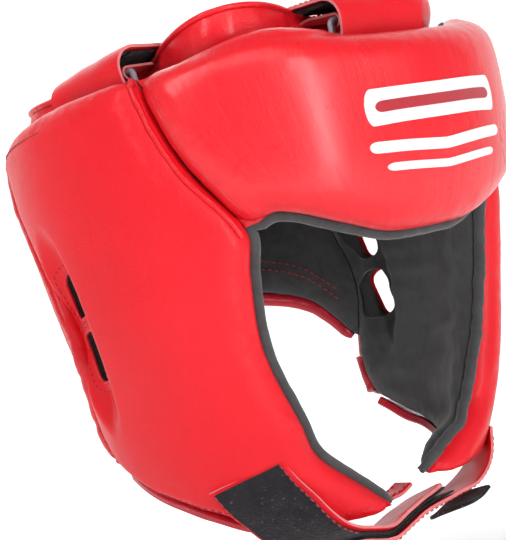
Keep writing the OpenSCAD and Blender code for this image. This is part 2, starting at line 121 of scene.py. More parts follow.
def smooth(table):
    """A curve through a table's points with no corners."""
    xs, ys = zip(*table)
    n = len(xs)
    slopes = [(ys[min(i + 1, n - 1)] - ys[max(i - 1, 0)])
              / (xs[min(i + 1, n - 1)] - xs[max(i - 1, 0)]) for i in range(n)]

    def at(x):
        x = min(max(x, xs[0]), xs[-1])
        i = min(max(bisect.bisect_right(xs, x) - 1, 0), n - 2)
        w = xs[i + 1] - xs[i]
        t = (x - xs[i]) / w
        a, b = slopes[i] * w, slopes[i + 1] * w
        return (ys[i] * (1 + 2 * t) * (1 - t) ** 2 + a * t * (1 - t) ** 2
                + ys[i + 1] * t * t * (3 - 2 * t) + b * t * t * (t - 1))
    return at


side_share, front_share, rear_share = smooth(SIDE_SHARE), smooth(FRONT_SHARE), smooth(REAR_SHARE)
seam_at, brow_at, rear_hem_at, rear_seam_at = map(smooth, (SEAM, BROW, REAR_HEM, REAR_SEAM))
front_angle, front_height = smooth(FRONT_ANGLE), smooth(FRONT_HEIGHT)
rear_angle, rear_height = smooth(REAR_ANGLE), smooth(REAR_HEIGHT)


def signed_power(x, p):
    return math.copysign(abs(x) ** p, x)


def on_shell(angle, z):
    """A point of the outer form, from the angle off the front towards the wearer's left."""
    s, c = math.sin(math.radians(angle)), math.cos(math.radians(angle))
    front, rear = FRONT_D * front_share(z), REAR_D * rear_share(z)
    blend = min(max(c * 3 + 0.5, 0), 1)
    depth = mix(rear, front, blend * blend * (3 - 2 * blend))
    p = 2 / SQUARENESS
    return Vector((HALF_W * side_share(z) * signed_power(s, p), -depth * signed_power(c, p), z))


def skin(angle, z, off):
    """A point off millimetres outside the form, along its normal, in millimetres."""
    p = on_shell(angle, z)
    along = on_shell(angle + 0.5, z) - on_shell(angle - 0.5, z)
    up = on_shell(angle, z + 1) - on_shell(angle, z - 1)
    return p + along.cross(up).normalized() * off


def top_rise(a):
    """The forehead pad stands higher beside the front strap, most on the wearer's right."""
    return (9.5 if a < 0 else 4.0) * math.exp(-((abs(a) - 41) / 19) ** 2)


def forehead_at(u, v):
    a = mix(-1, 1, u)
    side = seam_at(mix(-71, 11, v)) - 0.2
    top = 12 - 2 * a * a + top_rise(a * side)
    return a * side, mix(brow_at(abs(a) * 49) + GAP, top, v)


def side_at(u, v, sag=RIGHT_SAG, rise=0.0):
    a = mix(front_angle(v) + 0.2, rear_angle(v) - 0.2, u)
    low = max(0, 1 - v / 0.55) ** 2
    hem = rise * (1 - u) - sag * 4 * u * (1 - u)
    return a, mix(front_height(v), rear_height(v), u) + low * hem


def left_side_at(u, v):
    """The wearer's left jaw is drawn up by its strap."""
    return side_at(u, v, LEFT_SAG, LEFT_RISE)


def rear_at(u, v):
    first = rear_seam_at(mix(-140, -11, v)) + 0.2
    a = mix(first, 360 - first, u)
    fold = 360 - a if a > 180 else a
    edge = abs(2 * u - 1)
    low = mix(rear_hem_at(fold), -140, edge ** 8)
    return a, mix(low, mix(REAR_TOP, -11, edge * edge), v)


PANELS = {"forehead": forehead_at, "side": side_at, "rear": rear_at}


def fullness(place, u, v, reach):
    """How full the padding is, from 0 at the seams to 1, and the distance to the nearest seam."""
    here = on_shell(*place(u, v))
    far = [(on_shell(*place(q, v)) - here).length for q in (0, 1)]
    far += [(on_shell(*place(u, q)) - here).length for q in (0, 1)]
    if place in (side_at, left_side_at):
        far[1] *= REAR_EASE
    left = [max(0, 1 - d / reach) for d in far]
    worst = sum(x ** 3 for x in left) ** (1 / 3)
    return math.sqrt(max(0, 1 - min(1, worst) ** 2)), min(far)


# ---------------------------------------------------------------- mesh tools
def rest():
    if bpy.context.object and bpy.context.object.mode != "OBJECT":
        bpy.ops.object.mode_set(mode="OBJECT")
    bpy.ops.object.select_all(action="DESELECT")


def only(obj):
    rest()
    obj.select_set(True)
    bpy.context.view_layer.objects.active = obj
    return obj


def named(name):
    obj = bpy.context.object
    obj.name = obj.data.name = name
    return obj


def apply_all(obj):
    only(obj)
    for m in list(obj.modifiers):
        bpy.ops.object.modifier_apply(modifier=m.name)
    return obj


def face_out(obj):
    only(obj)
    bpy.ops.object.mode_set(mode="EDIT")
    bpy.ops.mesh.select_all(action="SELECT")
    bpy.ops.mesh.normals_make_consistent(inside=False)
    bpy.ops.object.mode_set(mode="OBJECT")
    return obj


def slab(name, columns, rows, place, step=None):
    """A closed sheet: place(u, v, under) gives each point of its two faces, in millimetres."""
    rest()
    bpy.ops.mesh.primitive_grid_add(x_subdivisions=columns, y_subdivisions=rows, size=1)
    obj = named(name)
    flat = [(v.co.x + 0.5, v.co.y + 0.5) for v in obj.data.vertices]
    thick = obj.modifiers.new("Thickness", "SOLIDIFY")
    thick.thickness, thick.offset = 0.01, -1
    apply_all(obj)
    if step:
        flat = [(step(u), step(v)) for u, v in flat]
    for i, vert in enumerate(obj.data.vertices):
        u, v = flat[i % len(flat)]
        vert.co = place(u, v, i >= len(flat)) * MM
    face_out(obj)
    bpy.ops.object.shade_smooth_by_angle(angle=math.radians(50))
    return obj


def crowded(x):
    """Steps that stand closer towards both ends, where the padding turns over."""
    return mix(x, 0.5 - 0.5 * math.cos(math.pi * x), 0.55)


def tube(name, path, radius, closed=False, sides=6):
    """A round roll along a path in millimetres; radius is a number or one for each point."""
    curve = bpy.data.curves.new(name, "CURVE")
    curve.dimensions = "3D"
    curve.bevel_depth, curve.bevel_resolution, curve.use_fill_caps = MM, sides, True
    spline = curve.splines.new("POLY")
    spline.points.add(len(path) - 1)
    for i, p in enumerate(path):
        spline.points[i].co = (*(Vector(p) * MM), 1)
        spline.points[i].radius = radius if isinstance(radius, (int, float)) else radius[i]
    spline.use_cyclic_u = closed
    obj = bpy.data.objects.new(name, curve)
    bpy.context.collection.objects.link(obj)
    only(obj)
    bpy.ops.object.convert(target="MESH")
    obj = named(name)
    bpy.ops.object.mode_set(mode="EDIT")
    bpy.ops.mesh.select_all(action="SELECT")
    bpy.ops.mesh.remove_doubles(threshold=1e-6)
    bpy.ops.object.mode_set(mode="OBJECT")
    face_out(obj)
    bpy.ops.object.shade_smooth_by_angle(angle=math.radians(60))
    return obj


def even(path, step):
    """Points a step apart along a path, with the heading at each."""
    found, left = [], step / 2
    for p, q in zip(path, path[1:]):
        span = (q - p).length
        while span > 0 and left <= span:
            found.append((p.lerp(q, left / span), (q - p) / span))
            left += step
        left -= span
    return found


def stitches(name, rows, body, long=2.6, thick=0.42, every=3.6, lift=0.0):
    """Sewing thread: rows are (path, outward) pairs, outward a function of a point."""
    rest()
    bpy.ops.mesh.primitive_uv_sphere_add(segments=6, ring_count=4, radius=0.5)
    one = named(name)
    base = [v.co.copy() for v in one.data.vertices]
    quads = [tuple(p.vertices) for p in one.data.polygons]
    points, faces = [], []
    for path, outward in rows:
        for p, d in even(path, every):
            n = outward(p).normalized()
            side = n.cross(d).normalized()
            start = len(points)
            for c in base:
                points.append((p + n * lift + d * (c.z * long) + side * (c.x * thick * 2)
                               + n * (c.y * thick * 2)) * MM)
            faces += [tuple(i + start for i in f) for f in quads]
    one.data.clear_geometry()
    one.data.from_pydata(points, [], faces)
    face_out(one)
    bpy.ops.object.shade_smooth()
    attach(one, body)
    return one


def finish_piece(obj, finish, body, *nodes, fill=None):
    """Gives a piece its finish, its body and the nodes that it replaces."""
    obj.data.materials.clear()
    obj.data.materials.append(FINISH[finish])
    if body:
        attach(obj, body)
    if nodes:
        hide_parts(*nodes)
    return obj


# ---------------------------------------------------------------- shared effects, as node groups
NUMBER = "NodeSocketFloat"


def new_group(name, inputs, outputs):
    group = bpy.data.node_groups.new(name, "ShaderNodeTree")
    for label, kind, value in inputs:
        socket = group.interface.new_socket(name=label, in_out="INPUT", socket_type=kind)
        if value is not None:
            socket.default_value = value
    for label, kind in outputs:
        group.interface.new_socket(name=label, in_out="OUTPUT", socket_type=kind)
    start = group.nodes.new("NodeGroupInput")
    end = group.nodes.new("NodeGroupOutput")
    return group, start, end


def add(tree, kind, **values):
    """A node with its settings and socket values; a socket's name has _ for a space."""
    node = tree.nodes.new("ShaderNode" + kind)
    for key, value in values.items():
        if hasattr(node, key):
            setattr(node, key, value)
        else:
            node.inputs[key.replace("_", " ")].default_value = value
    return node


def link(tree, source, target):
    tree.links.new(source, target)


def ramp(tree, source, low, high, to_low, to_high):
    node = add(tree, "MapRange")
    link(tree, source, node.inputs["Value"])
    for label, value in zip(("From Min", "From Max", "To Min", "To Max"),
                            (low, high, to_low, to_high)):
        node.inputs[label].default_value = value
    return node.outputs["Result"]


def make_grain():
    """Leather grain: fine cells, pores and soft cloudy creases, as heights and a tone."""
    group, start, end = new_group(
        "Leather grain", (("Vector", "NodeSocketVector", None), ("Cell", NUMBER, 900)),
        (("Height", NUMBER), ("Creases", NUMBER), ("Tone", NUMBER)))
    vector, cell = start.outputs["Vector"], start.outputs["Cell"]
    cells = add(group, "TexVoronoi", feature="DISTANCE_TO_EDGE", Randomness=1.0)
    link(group, vector, cells.inputs["Vector"])
    link(group, cell, cells.inputs["Scale"])
    pores = add(group, "TexNoise", Scale=2200, Detail=3, Roughness=0.6)
    link(group, vector, pores.inputs["Vector"])
    edge = ramp(group, cells.outputs["Distance"], 0.0, 0.12, 0.0, 1.0)
    total = add(group, "Math", operation="MULTIPLY_ADD")
    link(group, pores.outputs["Fac"], total.inputs[0])
    total.inputs[1].default_value = 0.5
    link(group, edge, total.inputs[2])
    link(group, total.outputs[0], end.inputs["Height"])
    cloud = add(group, "TexNoise", Scale=34, Detail=4, Roughness=0.55, Distortion=0.4)
    link(group, vector, cloud.inputs["Vector"])
    link(group, cloud.outputs["Fac"], end.inputs["Creases"])
    tone = add(group, "TexNoise", Scale=11, Detail=3, Roughness=0.6)
    link(group, vector, tone.inputs["Vector"])
    link(group, tone.outputs["Fac"], end.inputs["Tone"])
    return group


def make_nap():
    """Brushed or looped pile: short fibres and brushed patches, as a height and a tone."""
    group, start, end = new_group(
        "Pile", (("Vector", "NodeSocketVector", None), ("Fibre", NUMBER, 1800)),
        (("Height", NUMBER), ("Tone", NUMBER), ("Specks", NUMBER)))
    vector = start.outputs["Vector"]
    fibre = add(group, "TexNoise", Detail=3, Roughness=0.75)
    link(group, vector, fibre.inputs["Vector"])
    link(group, start.outputs["Fibre"], fibre.inputs["Scale"])
    link(group, fibre.outputs["Fac"], end.inputs["Height"])
    brushed = add(group, "TexNoise", Scale=75, Detail=5, Roughness=0.7, Distortion=0.8)
    link(group, vector, brushed.inputs["Vector"])
    link(group, brushed.outputs["Fac"], end.inputs["Tone"])
    lint = add(group, "TexNoise", Scale=520, Detail=1, Roughness=0.4)
    link(group, vector, lint.inputs["Vector"])
    link(group, ramp(group, lint.outputs["Fac"], 0.69, 0.74, 0.0, 1.0), end.inputs["Specks"])
    return group


GRAIN, NAP = make_grain(), make_nap()


def blank(name):
    mat = bpy.data.materials.new(name)
    mat.use_nodes = True
    tree = mat.node_tree
    tree.nodes.clear()
    out = tree.nodes.new("ShaderNodeOutputMaterial")
    shader = tree.nodes.new("ShaderNodeBsdfPrincipled")
    link(tree, shader.outputs[0], out.inputs[0])
    place = tree.nodes.new("ShaderNodeTexCoord")
    return mat, tree, shader, place


def two_tone(tree, mask, dark, light, low=0.35, high=0.65):
    node = add(tree, "Mix", data_type="RGBA")
    for socket, value in ((node.inputs[6], dark), (node.inputs[7], light)):
        socket.default_value = (*value, 1)
    link(tree, ramp(tree, mask, low, high, 0, 1), node.inputs[0])
    return node.outputs[2]


def use_grain(tree, place, cell):
    node = add(tree, "Group")
    node.node_tree = GRAIN
    node.inputs["Cell"].default_value = cell
    link(tree, place.outputs["Object"], node.inputs["Vector"])
    return node


def bump(tree, height, distance, strength=1.0, under=None):
    node = add(tree, "Bump", Strength=strength, Distance=distance)
    link(tree, height, node.inputs["Height"])
    if under:
        link(tree, under, node.inputs["Normal"])
    return node.outputs["Normal"]


def leather(name, dark, light, rough, coat=0.08, cell=900, crease=0.0006, grain=0.00006,
            streaks=None):
    """Finished leather. streaks = (across, along) adds fine lines that run along the UV map."""
    mat, tree, shader, place = blank(name)
    g = use_grain(tree, place, cell)
    link(tree, two_tone(tree, g.outputs["Tone"], dark, light), shader.inputs["Base Color"])
    link(tree, ramp(tree, g.outputs["Creases"], 0.3, 0.7, rough - 0.05, rough + 0.07),
         shader.inputs["Roughness"])
    normal = bump(tree, g.outputs["Creases"], crease)
    if streaks:
        stretch = add(tree, "Mapping")
        stretch.inputs["Scale"].default_value = (*streaks, 1)
        link(tree, place.outputs["UV"], stretch.inputs["Vector"])
        lines = add(tree, "TexNoise", Scale=1.0, Detail=5, Roughness=0.65, Distortion=0.6)
        link(tree, stretch.outputs[0], lines.inputs["Vector"])
        fine = ramp(tree, lines.outputs["Fac"], 0.42, 0.6, 0, 1)
        normal = bump(tree, fine, 0.00022, 1.0, normal)
    normal = bump(tree, g.outputs["Height"], grain, 1.0, normal)
    link(tree, normal, shader.inputs["Normal"])
    shader.inputs["Coat Weight"].default_value = coat
    shader.inputs["Coat Roughness"].default_value = 0.28
    shader.inputs["Specular IOR Level"].default_value = 0.22
    return mat


def pile(name, dark, light, fibre, depth, sheen, specks=None):
    """Suede or hook-and-loop tape."""
    mat, tree, shader, place = blank(name)
    g = add(tree, "Group")
    g.node_tree = NAP
    g.inputs["Fibre"].default_value = fibre
    link(tree, place.outputs["Object"], g.inputs["Vector"])
    colour = two_tone(tree, g.outputs["Tone"], dark, light, 0.3, 0.7)
    if specks:
        fleck = add(tree, "Mix", data_type="RGBA")
        link(tree, g.outputs["Specks"], fleck.inputs[0])
        link(tree, colour, fleck.inputs[6])
        fleck.inputs[7].default_value = (*specks, 1)
        colour = fleck.outputs[2]
    link(tree, colour, shader.inputs["Base Color"])
    link(tree, ramp(tree, g.outputs["Height"], 0.2, 0.8, 0.82, 0.98), shader.inputs["Roughness"])
    normal = bump(tree, g.outputs["Tone"], depth * 2.5)
    link(tree, bump(tree, g.outputs["Height"], depth, 1.0, normal), shader.inputs["Normal"])
    shader.inputs["Sheen Weight"].default_value = sheen
    shader.inputs["Sheen Roughness"].default_value = 0.45
    shader.inputs["Specular IOR Level"].default_value = 0.2
    return mat


def thread(name, dark, light):
    """Twisted sewing thread."""
    mat, tree, shader, place = blank(name)
    twist = add(tree, "TexWave", Scale=900, Distortion=1.5, bands_direction="DIAGONAL")
    link(tree, place.outputs["Object"], twist.inputs["Vector"])
    link(tree, two_tone(tree, twist.outputs["Fac"], dark, light, 0, 1),
         shader.inputs["Base Color"])
    link(tree, ramp(tree, twist.outputs["Fac"], 0, 1, 0.5, 0.7), shader.inputs["Roughness"])
    link(tree, bump(tree, twist.outputs["Fac"], 0.0001), shader.inputs["Normal"])
    shader.inputs["Sheen Weight"].default_value = 0.2
    return mat


def moulded(name, dark, light, rough):
    """Moulded plastic or cast foam with a faint texture."""
    mat, tree, shader, place = blank(name)
    spots = add(tree, "TexNoise", Scale=700, Detail=4, Roughness=0.6)
    link(tree, place.outputs["Object"], spots.inputs["Vector"])
    link(tree, two_tone(tree, spots.outputs["Fac"], dark, light), shader.inputs["Base Color"])
    link(tree, ramp(tree, spots.outputs["Fac"], 0.3, 0.7, rough - 0.06, rough + 0.08),
         shader.inputs["Roughness"])
    link(tree, bump(tree, spots.outputs["Fac"], 0.00012), shader.inputs["Normal"])
    return mat


FINISH = {}


def shade(colour, k):
    return tuple(c * k for c in colour)


def make_finishes(colours):
    """Every finish of the headgear, from the colours set in the panel."""
    red, trim, grey = tuple(colours.leather), tuple(colours.binding), tuple(colours.lining)
    raw, black, white = tuple(colours.raw_edge), tuple(colours.tape), tuple(colours.badge)
    FINISH.update(
        shell=leather("Shell leather", shade(red, 0.88), shade(red, 0.98), 0.37, crease=0.0004),
        forehead=leather("Forehead leather", shade(red, 0.92), red, 0.30, coat=0.55,
                         streaks=(60, 1.6)),
        crown=leather("Crown leather", shade(red, 0.88), red, 0.27, coat=0.3, crease=0.0016),
        strap=leather("Strap leather", shade(red, 0.86), shade(red, 0.97), 0.40, coat=0.08),
        roll=leather("Rolled edge leather", shade(red, 0.78), shade(red, 0.92), 0.25, coat=0.35),
        binding=leather("Binding leather", shade(trim, 0.75), trim, 0.24, coat=0.4),
        raw=pile("Raw leather edge", shade(raw, 0.7), raw, 900, 0.0002, 0.2),
        suede=pile("Suede lining", shade(grey, 0.62), grey, 1900, 0.00022, 0.35),
        tape=pile("Hook and loop tape", shade(black, 0.3), black, 1100, 0.0007, 0.15,
                  specks=(0.09, 0.07, 0.08)),
        thread=thread("Red thread", shade(trim, 0.5), trim),
        grey_thread=thread("Grey thread", shade(grey, 0.3), shade(grey, 0.9)),
        ring=moulded("Ring plastic", shade(colours.ring, 0.75), tuple(colours.ring), 0.42),
        foam=moulded("Foam", (0.02, 0.02, 0.022), (0.04, 0.04, 0.042), 0.85),
        badge=pile("Badge embroidery", shade(white, 0.88), white, 1300, 0.00015, 0.2),
    )


# ---------------------------------------------------------------- the padded panels
# how far in from a seam the padding rises, how deep it drops to the seam, how far its middle swells
REACH = {"forehead": 19.0, "side": 15.0, "rear": 15.0}
DROP = {"forehead": 10.5, "side": 8.5, "rear": 8.5}
SWELL = {"forehead": 3.5, "side": 2.0, "rear": 2.0}
INNER_DROP = {"forehead": 6.0, "side": 6.0, "rear": 5.0}
REAR_EASE = 1.25  # the side's rear edge is bound with a roll, so the padding stays fuller there
CHEEK_FOLD = (-184.0, 5.5, 3.6)  # the fold across each cheek's lining: height, spread and depth
FOAM_CLEAR = 2.2  # the foam lies this far behind the lining's folds
RECESS = (25.0, -103.0, 44.0, 14.0)  # ear recess: depth and height of its middle, half sizes


def recess_at(p):
    """How deep in the ear recess a place is, from 0 outside to 1."""
    y, z, long, wide = RECESS
    lean = math.radians(SLOT_LEAN - 4)
    dy, dz = p.y - y, p.z - z
    across = dy * math.cos(lean) - dz * math.sin(lean)
    along = dy * math.sin(lean) + dz * math.cos(lean)
    d = math.hypot(across / wide, along / long)
    t = min(max((1.25 - d) / 0.55, 0), 1)
    return t * t * (3 - 2 * t)


def pucker(p, edge, size, reach=14.0):
    """Short gathers that run in from a seam."""
    near = math.exp(-edge / reach)
    return size * near * (noise.noise(p * 0.17) + 0.5 * noise.noise(p * 0.41))


class Padding:
    """Where a panel's layers lie, with the slow part worked out once for each place."""

    def __init__(self, panel, mirrored=False):
        self.panel, self.mirrored, self.known = panel, mirrored, {}
        self.place = left_side_at if panel == "side" and not mirrored else PANELS[panel]

    def form(self, u, v):
        if (u, v) not in self.known:
            reach = REACH[self.panel]
            full, edge = fullness(self.place, u, v, reach)
            a, z = self.place(u, v)
            p = on_shell(a, z)
            ear = recess_at(p) if self.panel == "side" else 0.0
            hump = max(0, 16 * u * (1 - u) * v * (1 - v)) ** 0.5
            outer = (-DROP[self.panel] * (1 - full) + SWELL[self.panel] * hump * (1 - ear)
                     + pucker(p, edge, 0.5) + 0.35 * noise.noise(p * 0.028) - 6.0 * ear)
            inner = (-PAD_T + INNER_DROP[self.panel] * (1 - full) + pucker(p, edge, 0.9)
                     + 0.8 * noise.noise(p * 0.05) + 8.0 * ear)
            if self.panel == "side":
                folds = noise.noise(Vector((p.y * 0.02, p.z * 0.12, 5))) * min(1, full * 1.5)
                at, spread, deep = CHEEK_FOLD
                inner += 1.6 * folds - 2.5 * hump + deep * math.exp(-((p.z - at) / spread) ** 2)
            self.known[(u, v)] = a, z, outer, inner
        return self.known[(u, v)]

    def at(self, u, v, share, shift=0.0):
        """share 0 is the leather's face, 1 the lining's; shift moves it out."""
        a, z, outer, inner = self.form(u, v)
        p = skin(a, z, mix(outer, inner, share) + shift)
        return Vector((-p.x, p.y, p.z)) if self.mirrored else p

    def leather(self, u, v, under):
        return self.at(u, v, 0, -LEATHER_T if under else 0)

    def foam(self, u, v, under):
        if under:
            return self.at(u, v, 1, LINING_T + GAP + FOAM_CLEAR)
        return self.at(u, v, 0, -LEATHER_T - GAP)

    def lining(self, u, v, under):
        return self.at(u, v, 1, 0 if under else LINING_T)


def slot_outline(middle, long, count=28):
    """An ear slot's outline round its middle, as (depth, height) points."""
    straight, r = (long - SLOT_W) / 2, SLOT_W / 2
    lean = math.radians(SLOT_LEAN)
    points = []
    for i in range(count):
        t = 2 * math.pi * i / count
        c, s = math.cos(t), math.sin(t)
        y = r * signed_power(c, SLOT_SQUARENESS)
        z = r * signed_power(s, SLOT_SQUARENESS) + math.copysign(straight, s)
        points.append((middle[0] + y * math.cos(lean) + z * math.sin(lean),
                       middle[1] - y * math.sin(lean) + z * math.cos(lean)))
    return points


def cut_slots(obj, sign):
    """Opens the two ear slots with a shaped cutter."""
    for middle, long in SLOTS:
        rest()
        bpy.ops.mesh.primitive_circle_add(vertices=28, radius=1, fill_type="NGON")
        cutter = named("Slot cutter")
        for vert, (y, z) in zip(cutter.data.vertices, slot_outline(middle, long)):
            vert.co = Vector((sign * 75, y, z)) * MM
        bpy.ops.object.mode_set(mode="EDIT")
        bpy.ops.mesh.select_all(action="SELECT")
        bpy.ops.mesh.extrude_region_move(
            TRANSFORM_OT_translate={"value": (sign * 0.06, 0, 0)})
        bpy.ops.object.mode_set(mode="OBJECT")
        face_out(cutter)
        cut = obj.modifiers.new("Slot", "BOOLEAN")
        cut.operation, cut.object, cut.solver = "DIFFERENCE", cutter, "EXACT"
        apply_all(obj)
        bpy.data.objects.remove(cutter)
    only(obj)
    bpy.ops.object.shade_smooth_by_angle(angle=math.radians(50))
    return obj


SIZES = {"forehead": (190, 84), "side": (120, 190), "rear": (170, 96)}


def make_panel(title, panel, mirrored=False):
    """Leather, foam and lining of one panel, each with its own closed mesh."""
    pad = Padding(panel, mirrored)
    nu, nv = SIZES[panel]
    layers = (("leather", pad.leather, (nu, nv),
               "forehead" if panel == "forehead" else "shell", 0.85),
              ("foam", pad.foam, (nu // 4, nv // 4), "foam", 0.9),
              ("lining", pad.lining, (nu * 2 // 3, nv * 2 // 3), "suede", 0.7))
    for layer, place, (columns, rows), material, fill in layers:
        obj = slab(f"{title}_{layer}_piece", columns, rows, place, crowded)
        if panel == "side":
            cut_slots(obj, -1 if mirrored else 1)
        finish_piece(obj, material, "root", f"{title}_{layer}", fill=fill)
    return pad


# ---------------------------------------------------------------- rolls, piping and stitched seams
def on_edge(pad, at, share, shift=0.0, count=90):
    """A line along a panel: at(t) gives its (u, v) for t from 0 to 1."""
    return [pad.at(*at(i / (count - 1)), share, shift) for i in range(count)]


def wavy(line, size, pitch):
    """The same line with the small unevenness of hand work."""
    return [p + noise.noise_vector(p * pitch) * size for p in line]


def roll(title, line, radius, material, *nodes, closed=False, fill=0.8):
    """A stuffed roll with its ends drawn in; the radius swells and thins a little."""
    n = len(line)
    thick = []
    for i, p in enumerate(line):
        end = 1 if closed else min(1, (min(i, n - 1 - i) + 0.6) / 2.2)
        thick.append(radius * end ** 0.5 * (1 + 0.10 * noise.noise(p * 0.13)))
    obj = tube(title, line, thick, closed, 7)
    finish_piece(obj, material, "root", *nodes, fill=fill)


def outward(p):
    """Roughly away from the middle of the head."""
    return Vector((p.x, p.y * 0.8, (p.z + 90) / 15))


def sew(title, lines, body, facing=outward, material="thread", long=2.5, every=3.6, thick=0.4,
        lift=0.15):
    obj = stitches(title, [(line, facing) for line in lines], body, long, thick, every, lift)
    obj.data.materials.append(FINISH[material])
    return obj


def build_seams(pads, sizes):
    """Piping, rolled edges, the grey lip and the visible stitch rows of the shell."""
    side, mirror, brow, back = (pads[k] for k in ("left", "right", "forehead", "rear"))
    pipe, edge, lip = (1000 * x for x in (sizes.piping, sizes.edge_roll, sizes.lip))
    for name, pad in (("left", side), ("right", mirror)):
        line = on_edge(pad, lambda t: (0.012, 0.675 + 0.325 * t), 0.0, 1.2)
        roll(f"{name}_front_piping", line, pipe, "roll")
        line = on_edge(pad, lambda t: (0.995, 1 - t), 0.0, 2.4)
        roll(f"{name}_rear_roll", line, edge, "roll")
        line = on_edge(pad, lambda t: (1, 0.18 * t), 0.55, 0)
        roll(f"{name}_ear_roll", line, edge * 0.9, "binding", f"{name}_ear_binding")
    # the suede lip round the face opening
    def cheek(pad):
        line = []
        for i in range(60):
            v = 0.685 * i / 59
            p, q = pad.at(0, v, 0.5), pad.at(0.05, v, 0.5)
            line.append(p + (p - q).normalized() * lip * 0.55)
        return line
    over = []
    for i in range(81):
        u = 0.965 - 0.93 * i / 80
        over.append(brow.at(u, 0, 0.5) - Vector((0, 0, lip * 0.75)))
    line = wavy(cheek(side) + over + cheek(mirror)[::-1], 0.25, 0.09)
    roll("face_lip", line, lip, "suede", "face_binding", fill=0.5)
    hem = []
    for i in range(80):
        u = 0.03 + 0.94 * i / 79
        hem.append(back.at(u, 0, 0.5) - Vector((0, 0, 2.6)))
    roll("rear_hem_roll", wavy(hem, 0.3, 0.08), 3.4, "binding", "rear_hem_binding")
    # stitch rows
    rows = []
    for pad in (side, mirror):
        rows.append(on_edge(pad, lambda t: (0.93 - 0.5 * t, 0.965), 0, 0.1, 80))
        rows.append(on_edge(pad, lambda t: (0.93, 0.06 + 0.14 * t), 0, 0.1, 40))
        rows.append(on_edge(pad, lambda t: (0.06 + 0.88 * t, 0.035), 0, 0.1, 120))
    sew("side_stitching", rows, "root")
    sew("lip_stitching", [[p + Vector((0, 0, lip * 0.6)) for p in over]], "root",
        lambda p: Vector((p.x, p.y, -40)), "grey_thread", 1.6, 2.8, 0.3, lip * 0.7)
    inner = [back.at(0.06 + 0.88 * i / 119, 0.10, 1, -0.2) for i in range(120)]
    under = [back.at(0.06 + 0.88 * i / 119, 0.145, 1, -0.2) for i in range(120)]
    sew("rear_inner_stitching", [inner, under], "root", lambda p: -outward(p))


def build_ear_trim(pads):
    """Stitched rings round the ear slots and a rolled rim on each."""
    wide, tall = 1.33 * 1.15, 1.33  # the stitched ring's size against the slot's
    for name in ("left", "right"):
        pad, rows = pads[name], []
        for middle, long in SLOTS:
            loop = [surface_at(pad, mix(middle[0], y, wide), mix(middle[1], z, tall))
                    for y, z in slot_outline(middle, long, 40)]
            rows.append(loop + loop[:1])
        sew(f"{name}_ear_stitching", rows, "root", lift=0.1, long=2.0, every=3.0, thick=0.34)
        for n, (middle, long) in enumerate(SLOTS, 1):
            edge = [surface_at(pad, y, z, 0.04) for y, z in slot_outline(middle, long, 44)]
            rim = tube(f"{name}_slot_edge_{n}", edge, 0.9, True, 4)
            finish_piece(rim, "roll", "root")


def surface_at(pad, y, z, share=0.0):
    """The padding's face at a depth and height on the side panel, found by Newton steps."""
    u, v = 0.6, 0.4
    for _ in range(24):
        p = pad.at(u, v, share)
        q = pad.at(min(u + 0.01, 1), v, share)
        r = pad.at(u, min(v + 0.01, 1), share)
        a, b, c, d = (q.y - p.y) / 0.01, (r.y - p.y) / 0.01, (q.z - p.z) / 0.01, (r.z - p.z) / 0.01
        det = a * d - b * c
        if abs(det) < 1e-6:
            break
        ey, ez = y - p.y, z - p.z
        if abs(ey) + abs(ez) < 0.02:
            break
        u = min(max(u + 0.9 * (d * ey - b * ez) / det, 0.02), 0.98)
        v = min(max(v + 0.9 * (a * ez - c * ey) / det, 0.02), 0.98)
    return pad.at(u, v, share)


# ---------------------------------------------------------------- the crown pad
def crown_reach(a):
    return CROWN_R + LOBE_R * abs(math.sin(2 * a)) ** 2.8


def crown_skirt(a):
    """How far the pad's side hangs below its piped edge."""
    return CROWN_EDGE + 9.0 * abs(math.sin(2 * a)) ** 1.4


def crown_base(a, k):
    r = crown_reach(a) * k
    x, y = r * math.cos(a), r * math.sin(a)
    y *= REAR_STRETCH if y > 0 else 1
    lift = LOBE_LIFT * k ** 3 * math.sin(2 * a) ** 2
    return Vector((x, y, -math.tan(math.radians(CROWN_TILT)) * y + lift - 2.5 * k * k))


PIPED, CROWN_EDGE = 0.74, 13.0


def crown_face(a, t, inset=0.0):
    """The outer face, from the middle of the top at t 0 over the piped edge to the hem at 1."""
    k = min(1, t / PIPED)
    s = max(0, (t - PIPED) / (1 - PIPED))
    p = crown_base(a, k)
    dome = (1 - k ** 5) ** 0.5
    lobe = abs(math.sin(2 * a)) ** 1.5 * math.sin(math.pi * min(1, k)) ** 0.7
    p.z += mix(CROWN_EDGE, CROWN_T + 3.5, dome) + 4.6 * lobe
    out = Vector((math.cos(a), math.sin(a), 0))
    ring = out * 9.0
    gather = noise.noise(ring * 1.5) + 0.6 * noise.noise(ring * 3.3)
    if s > 0:
        p.z += -crown_skirt(a) * s + 0.6 * gather * math.sin(math.pi * s)
        p += out * (2.8 * math.sin(math.pi * s) + 0.9 * gather * math.sin(math.pi * s) - 1.6 * s)
    else:
        near = max(0, (k - 0.72) / 0.28)
        p.z += 0.55 * gather * math.sin(math.pi * near)
    down = Vector((0, 0, -1)) if s == 0 else (Vector((0, 0, -1)) * (1 - s) - out * s).normalized()
    soft = 0.5 * noise.noise(p * 0.045)
    return p + down * (inset - soft)


def crown_under(a, k, raise_by=0.0):
    p = crown_base(a, k)
    f = (1 - k ** 4) ** 0.5
    p.z += mix(CROWN_EDGE - crown_skirt(a), 0, f) + raise_by * mix(0.4, 1, f)
    p.z += 0.5 * noise.noise(p * 0.04)
    p.x *= 0.985
    p.y *= 0.985
    return p


